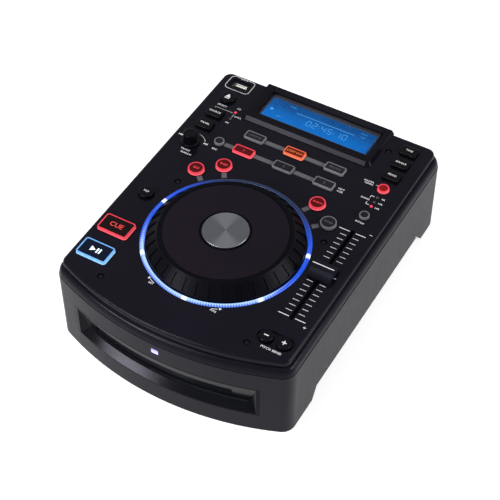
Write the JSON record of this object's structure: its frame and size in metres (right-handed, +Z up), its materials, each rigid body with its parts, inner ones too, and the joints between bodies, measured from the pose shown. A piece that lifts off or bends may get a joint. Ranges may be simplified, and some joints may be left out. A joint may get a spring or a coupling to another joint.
{
  "type": "tabletop disc player",
  "caption": "Slot-in tabletop disc player with a jog wheel, display hood, lit keys, pitch fader and rear sockets.",
  "frame": {"origin": "middle of the foot plane under the case", "axes": "+X to the user's right, -Y towards the user and the disc slot, +Z up"},
  "size_m": [0.218, 0.295, 0.0993],
  "materials": {
    "case_plastic": "fine matt grain",
    "gloss_black": "polished",
    "steel": "bare sheet",
    "black_steel": "satin paint",
    "display_grey": "satin",
    "clear_window": "clear",
    "display_blue": "lit",
    "rubber": "matt",
    "light_pipe": "clear, lit",
    "ring_clear": "clear, lit",
    "circuit_board": "lacquered",
    "jog_black": "satin",
    "spun_metal": "spun",
    "key_black": "satin",
    "key_red": "lit",
    "key_grey": "satin",
    "key_blue": "lit",
    "rear_metal": "satin",
    "socket_metal": "plated",
    "socket_black": "moulded"
  },
  "bodies": {
    "case": {"base_case": "case_plastic", "top_cover": "gloss_black", "bottom_plate": "black_steel", "rear_panel": "rear_metal", "slot_bezel": "gloss_black", "display_hood": "display_grey", "display_window": "clear_window", "lcd_module": "display_blue", "rubber_feet": "rubber", "indicator_lights": "light_pipe", "light_ring": "ring_clear", "ring_light_board": "circuit_board", "jog_bracket": "case_plastic", "track_encoder": "socket_black", "fader_body": "steel", "usb_socket": "socket_metal", "control_board": "circuit_board", "key_switches": "socket_black", "main_board": "circuit_board", "power_board": "circuit_board", "phono_jacks": "socket_metal", "usb_b_socket": "socket_metal", "mains_inlet": "socket_black", "drive_chassis": "steel"},
    "jog": {"jog_platter": "gloss_black", "touch_disc": "jog_black", "jog_cap": "spun_metal", "jog_shaft": "steel", "encoder_disc": "black_steel"},
    "fader": {"fader_cap": "key_black"},
    "track_shaft": {"track_shaft": "steel"},
    "track_knob": {"track_knob": "key_black"},
    "power_rocker": {"power_rocker": "key_black"},
    "feed_roller": {"feed_roller": "rubber"},
    "disc_spindle": {"disc_spindle": "key_black"},
    "laser_sled": {"laser_sled": "socket_black"},
    "cue_button": {"cue_button": "key_red"},
    "play_button": {"play_button": "key_blue"},
    "tap_button": {"tap_button": "key_black"},
    "eject_button": {"eject_button": "key_black"},
    "source_button": {"source_button": "key_black"},
    "panel_button": {"panel_button": "key_black"},
    "time_button": {"time_button": "key_black"},
    "single_button": {"single_button": "key_black"},
    "program_button": {"program_button": "key_black"},
    "record_button": {"record_button": "key_grey"},
    "hot_cue_button_1": {"hot_cue_button_1": "key_red"},
    "hot_cue_button_2": {"hot_cue_button_2": "key_grey"},
    "hot_cue_button_3": {"hot_cue_button_3": "key_grey"},
    "loop_in_button": {"loop_in_button": "key_grey"},
    "loop_out_button": {"loop_out_button": "key_red"},
    "reloop_button": {"reloop_button": "key_grey"},
    "left_outer_button": {"left_outer_button": "key_red"},
    "left_inner_button": {"left_inner_button": "key_red"},
    "right_outer_button": {"right_outer_button": "key_grey"},
    "right_inner_button": {"right_inner_button": "key_red"},
    "tempo_lock_button": {"tempo_lock_button": "key_red"},
    "pitch_range_button": {"pitch_range_button": "key_grey"},
    "bend_minus_button": {"bend_minus_button": "key_black"},
    "bend_plus_button": {"bend_plus_button": "key_black"}
  },
  "joints": [
    {"name": "jog_spin", "type": "hinge", "parent": "case", "child": "jog", "pos_m": [0, -0.0375, 0.09], "axis": [0, 0, 1], "continuous": true},
    {"name": "pitch_fader", "type": "slide", "parent": "case", "child": "fader", "axis": [0, 1, 0], "range_m": [-0.05, 0.05]},
    {"name": "track_push", "type": "slide", "parent": "case", "child": "track_shaft", "axis": [0, 0, -1], "range_m": [0, 0.001], "stiffness_N_per_m": 1200, "springref_m": -0.0006},
    {"name": "track_turn", "type": "hinge", "parent": "track_shaft", "child": "track_knob", "pos_m": [-0.085, 0.046, 0.092], "axis": [0, 0, 1], "continuous": true},
    {"name": "power_switch", "type": "hinge", "parent": "case", "child": "power_rocker", "pos_m": [0.0765, 0.1355, 0.042], "axis": [1, 0, 0], "range_deg": [0, 16]},
    {"name": "feed_roller_spin", "type": "hinge", "parent": "case", "child": "feed_roller", "pos_m": [0, -0.1175, 0.036], "axis": [1, 0, 0], "continuous": true},
    {"name": "disc_spindle_spin", "type": "hinge", "parent": "case", "child": "disc_spindle", "pos_m": [0, -0.062, 0.036], "axis": [0, 0, 1], "continuous": true},
    {"name": "laser_sled_slide", "type": "slide", "parent": "case", "child": "laser_sled", "axis": [0, 1, 0], "range_m": [0, 0.022]},
    {"name": "cue_button_press", "type": "slide", "parent": "case", "child": "cue_button", "axis": [0, 0, -1], "range_m": [0, 0.001], "stiffness_N_per_m": 1000, "springref_m": -0.0005},
    {"name": "play_button_press", "type": "slide", "parent": "case", "child": "play_button", "axis": [0, 0, -1], "range_m": [0, 0.001], "stiffness_N_per_m": 1000, "springref_m": -0.0005},
    {"name": "tap_button_press", "type": "slide", "parent": "case", "child": "tap_button", "axis": [0, 0, -1], "range_m": [0, 0.001], "stiffness_N_per_m": 1000, "springref_m": -0.0005},
    {"name": "eject_button_press", "type": "slide", "parent": "case", "child": "eject_button", "axis": [0, 0, -1], "range_m": [0, 0.001], "stiffness_N_per_m": 1000, "springref_m": -0.0005},
    {"name": "source_button_press", "type": "slide", "parent": "case", "child": "source_button", "axis": [0, 0, -1], "range_m": [0, 0.001], "stiffness_N_per_m": 1000, "springref_m": -0.0005},
    {"name": "panel_button_press", "type": "slide", "parent": "case", "child": "panel_button", "axis": [0, 0, -1], "range_m": [0, 0.001], "stiffness_N_per_m": 1000, "springref_m": -0.0005},
    {"name": "time_button_press", "type": "slide", "parent": "case", "child": "time_button", "axis": [0, 0, -1], "range_m": [0, 0.001], "stiffness_N_per_m": 1000, "springref_m": -0.0005},
    {"name": "single_button_press", "type": "slide", "parent": "case", "child": "single_button", "axis": [0, 0, -1], "range_m": [0, 0.001], "stiffness_N_per_m": 1000, "springref_m": -0.0005},
    {"name": "program_button_press", "type": "slide", "parent": "case", "child": "program_button", "axis": [0, 0, -1], "range_m": [0, 0.001], "stiffness_N_per_m": 1000, "springref_m": -0.0005},
    {"name": "record_button_press", "type": "slide", "parent": "case", "child": "record_button", "axis": [0, 0, -1], "range_m": [0, 0.001], "stiffness_N_per_m": 1000, "springref_m": -0.0005},
    {"name": "hot_cue_button_1_press", "type": "slide", "parent": "case", "child": "hot_cue_button_1", "axis": [0, 0, -1], "range_m": [0, 0.001], "stiffness_N_per_m": 1000, "springref_m": -0.0005},
    {"name": "hot_cue_button_2_press", "type": "slide", "parent": "case", "child": "hot_cue_button_2", "axis": [0, 0, -1], "range_m": [0, 0.001], "stiffness_N_per_m": 1000, "springref_m": -0.0005},
    {"name": "hot_cue_button_3_press", "type": "slide", "parent": "case", "child": "hot_cue_button_3", "axis": [0, 0, -1], "range_m": [0, 0.001], "stiffness_N_per_m": 1000, "springref_m": -0.0005},
    {"name": "loop_in_button_press", "type": "slide", "parent": "case", "child": "loop_in_button", "axis": [0, 0, -1], "range_m": [0, 0.001], "stiffness_N_per_m": 1000, "springref_m": -0.0005},
    {"name": "loop_out_button_press", "type": "slide", "parent": "case", "child": "loop_out_button", "axis": [0, 0, -1], "range_m": [0, 0.001], "stiffness_N_per_m": 1000, "springref_m": -0.0005},
    {"name": "reloop_button_press", "type": "slide", "parent": "case", "child": "reloop_button", "axis": [0, 0, -1], "range_m": [0, 0.001], "stiffness_N_per_m": 1000, "springref_m": -0.0005},
    {"name": "left_outer_button_press", "type": "slide", "parent": "case", "child": "left_outer_button", "axis": [0, 0, -1], "range_m": [0, 0.001], "stiffness_N_per_m": 1000, "springref_m": -0.0005},
    {"name": "left_inner_button_press", "type": "slide", "parent": "case", "child": "left_inner_button", "axis": [0, 0, -1], "range_m": [0, 0.001], "stiffness_N_per_m": 1000, "springref_m": -0.0005},
    {"name": "right_outer_button_press", "type": "slide", "parent": "case", "child": "right_outer_button", "axis": [0, 0, -1], "range_m": [0, 0.001], "stiffness_N_per_m": 1000, "springref_m": -0.0005},
    {"name": "right_inner_button_press", "type": "slide", "parent": "case", "child": "right_inner_button", "axis": [0, 0, -1], "range_m": [0, 0.001], "stiffness_N_per_m": 1000, "springref_m": -0.0005},
    {"name": "tempo_lock_button_press", "type": "slide", "parent": "case", "child": "tempo_lock_button", "axis": [0, 0, -1], "range_m": [0, 0.001], "stiffness_N_per_m": 1000, "springref_m": -0.0005},
    {"name": "pitch_range_button_press", "type": "slide", "parent": "case", "child": "pitch_range_button", "axis": [0, 0, -1], "range_m": [0, 0.001], "stiffness_N_per_m": 1000, "springref_m": -0.0005},
    {"name": "bend_minus_button_press", "type": "slide", "parent": "case", "child": "bend_minus_button", "axis": [0, 0, -1], "range_m": [0, 0.001], "stiffness_N_per_m": 1000, "springref_m": -0.0005},
    {"name": "bend_plus_button_press", "type": "slide", "parent": "case", "child": "bend_plus_button", "axis": [0, 0, -1], "range_m": [0, 0.001], "stiffness_N_per_m": 1000, "springref_m": -0.0005}
  ]
}
